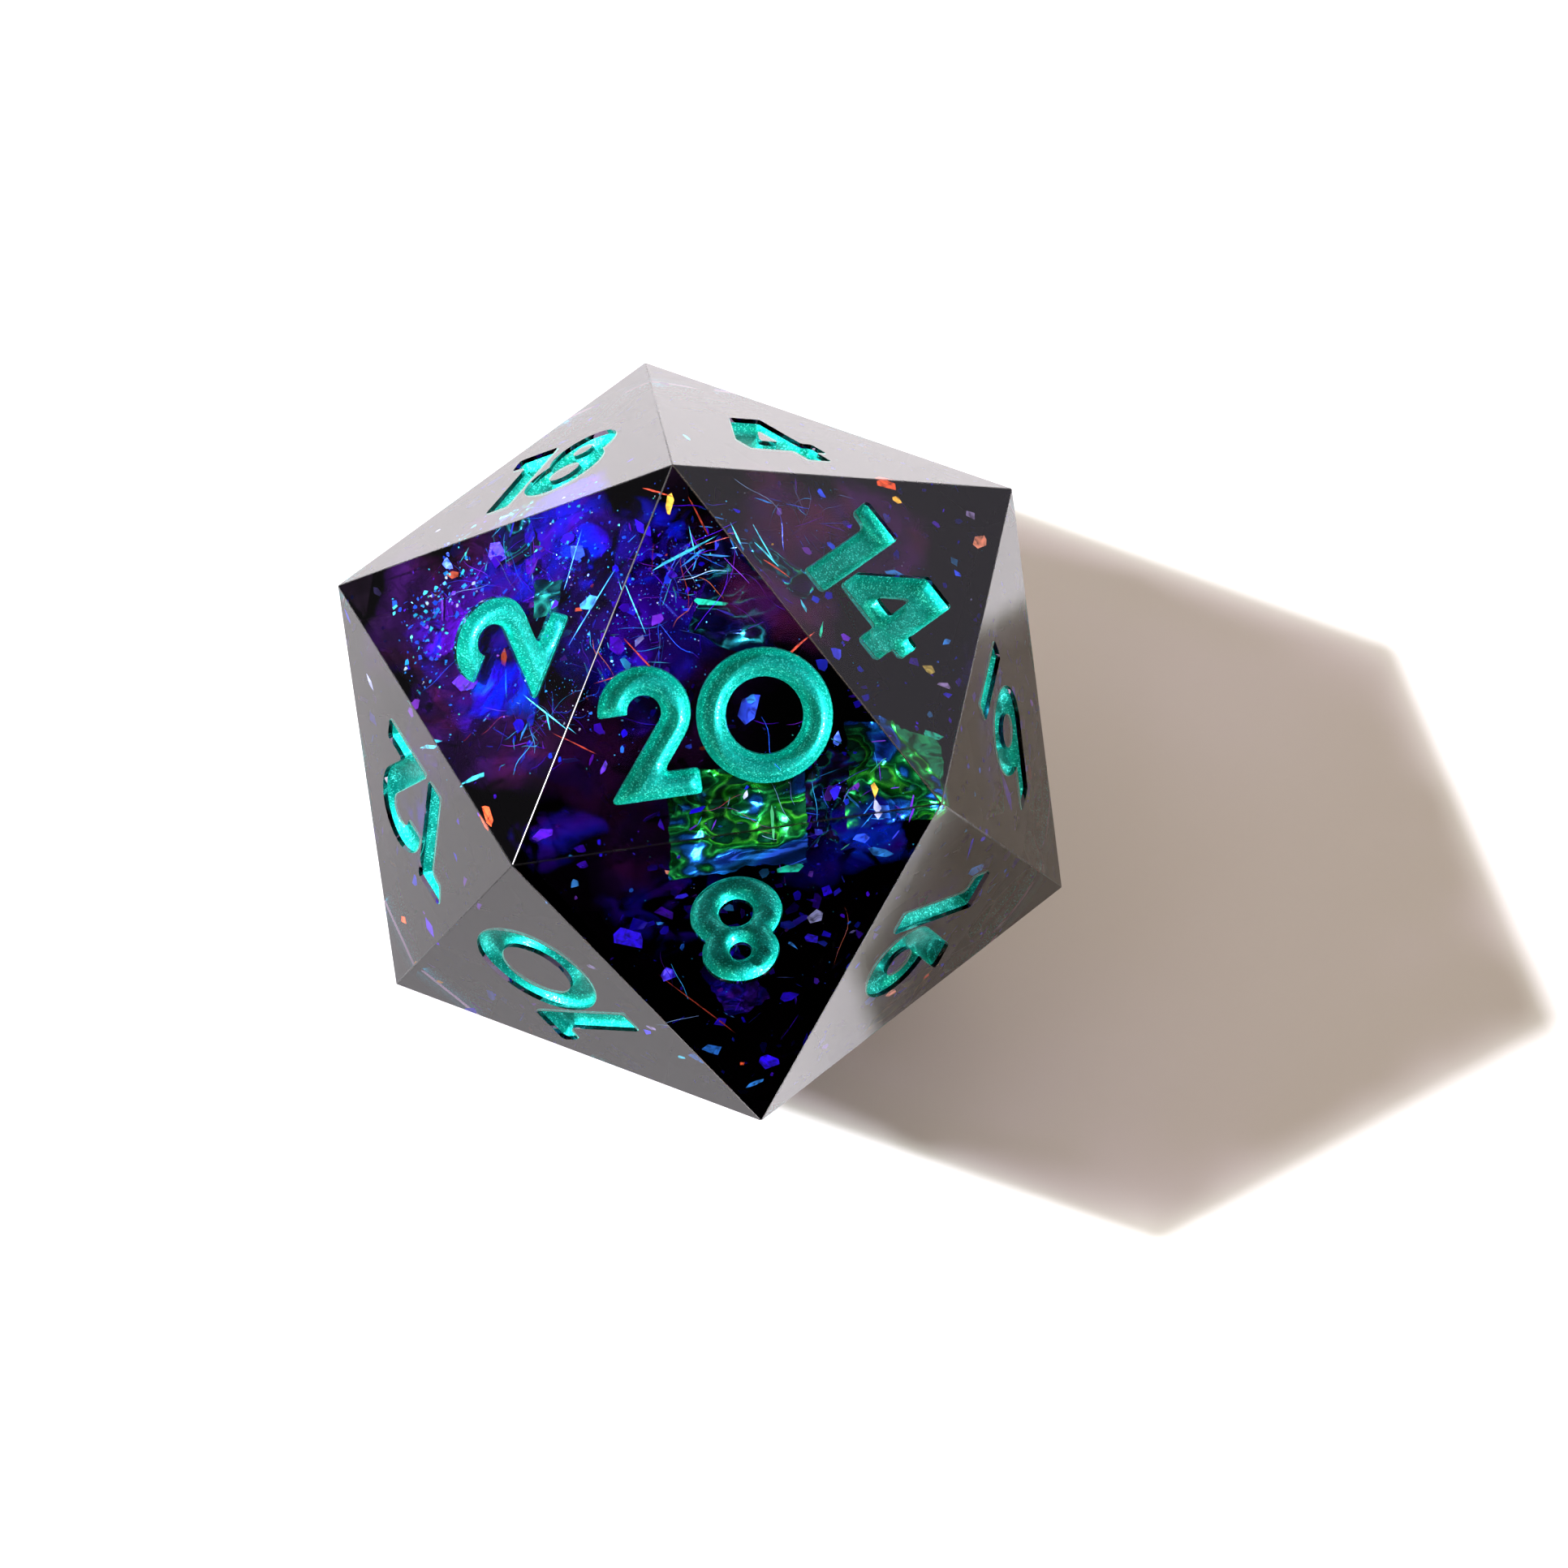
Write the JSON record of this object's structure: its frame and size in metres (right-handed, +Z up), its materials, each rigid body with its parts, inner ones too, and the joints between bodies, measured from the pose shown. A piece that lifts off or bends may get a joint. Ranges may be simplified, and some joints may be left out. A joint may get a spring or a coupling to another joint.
{
  "type": "twenty-sided die",
  "caption": "Sharp-edged icosahedral gaming die in dark smoky cast resin, with engraved teal numerals and crumpled iridescent film inside.",
  "frame": {"origin": "on the table, under the die's centre, with the die standing on its face 1", "axes": "+Z up through the middle of face 20; +Y from there towards the corner above the numeral 20; +X to that numeral's right"},
  "size_m": [0.0224, 0.0258, 0.021],
  "materials": {
    "resin": "polished smoky violet-black translucent cast resin",
    "numeral_paint": "metallic teal mica paint with a fine sparkle",
    "iridescent_film": "thin crumpled film that shifts between violet, blue, green and gold"
  },
  "bodies": {
    "root": {"resin_body": "resin", "paint_1": "numeral_paint", "paint_2": "numeral_paint", "paint_3": "numeral_paint", "paint_4": "numeral_paint", "paint_5": "numeral_paint", "paint_6": "numeral_paint", "paint_6_underline": "numeral_paint", "paint_7": "numeral_paint", "paint_8": "numeral_paint", "paint_9": "numeral_paint", "paint_9_underline": "numeral_paint", "paint_10_tens": "numeral_paint", "paint_10_units": "numeral_paint", "paint_11_tens": "numeral_paint", "paint_11_units": "numeral_paint", "paint_12_tens": "numeral_paint", "paint_12_units": "numeral_paint", "paint_13_tens": "numeral_paint", "paint_13_units": "numeral_paint", "paint_14_tens": "numeral_paint", "paint_14_units": "numeral_paint", "paint_15_tens": "numeral_paint", "paint_15_units": "numeral_paint", "paint_16_tens": "numeral_paint", "paint_16_units": "numeral_paint", "paint_17_tens": "numeral_paint", "paint_17_units": "numeral_paint", "paint_18_tens": "numeral_paint", "paint_18_units": "numeral_paint", "paint_19_tens": "numeral_paint", "paint_19_units": "numeral_paint", "paint_20_tens": "numeral_paint", "paint_20_units": "numeral_paint", "film_green_front": "iridescent_film", "film_blue_top": "iridescent_film", "film_green_right": "iridescent_film", "film_purple_right": "iridescent_film", "film_violet_left": "iridescent_film", "film_blue_front": "iridescent_film", "film_violet_side": "iridescent_film", "film_teal_side": "iridescent_film", "film_gold_back": "iridescent_film", "film_green_back": "iridescent_film", "film_pink_back": "iridescent_film", "film_violet_base": "iridescent_film"}
  },
  "joints": []
}
